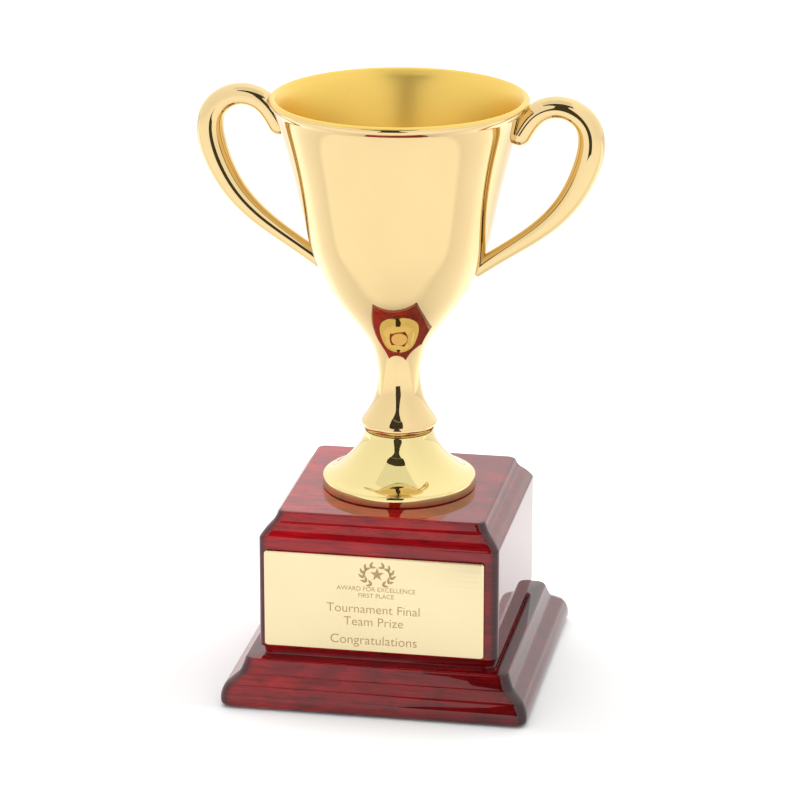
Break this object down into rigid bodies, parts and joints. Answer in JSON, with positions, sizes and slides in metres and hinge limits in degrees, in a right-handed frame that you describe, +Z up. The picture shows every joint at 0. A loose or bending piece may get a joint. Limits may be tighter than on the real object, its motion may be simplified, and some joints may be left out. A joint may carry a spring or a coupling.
{
  "type": "cup trophy",
  "caption": "Award cup with looped side handles on a flared foot, bolted to a square moulded wooden base with a flat front name plate.",
  "frame": {"origin": "centre of the underside, on the surface the trophy stands on", "axes": "+Z up, handles along X, name plate on the front, which faces -Y"},
  "size_m": [0.129, 0.0978, 0.1905],
  "materials": {
    "cup_gold": "polished gold plate, satin inside the bowl",
    "foot_gold": "polished, slightly greener gold plate",
    "plate_brass": "lacquered bright brass, engraved",
    "rosewood_lacquer": "rosewood under high-gloss piano lacquer",
    "zinc_steel": "zinc plated",
    "felt": "pressed felt",
    "adhesive_tape": "double-sided adhesive tape"
  },
  "bodies": {
    "root": {"cup_body": "cup_gold", "handle_left": "cup_gold", "handle_right": "cup_gold", "foot": "foot_gold", "centre_rod": "zinc_steel", "foot_washer": "zinc_steel", "foot_nut": "zinc_steel", "base_washer": "zinc_steel", "base_nut": "zinc_steel", "base_block": "rosewood_lacquer", "base_plinth": "rosewood_lacquer", "base_screw_1": "zinc_steel", "base_screw_2": "zinc_steel", "base_screw_3": "zinc_steel", "base_screw_4": "zinc_steel", "felt_pad": "felt", "name_plate": "plate_brass", "plate_tape": "adhesive_tape"}
  },
  "joints": []
}
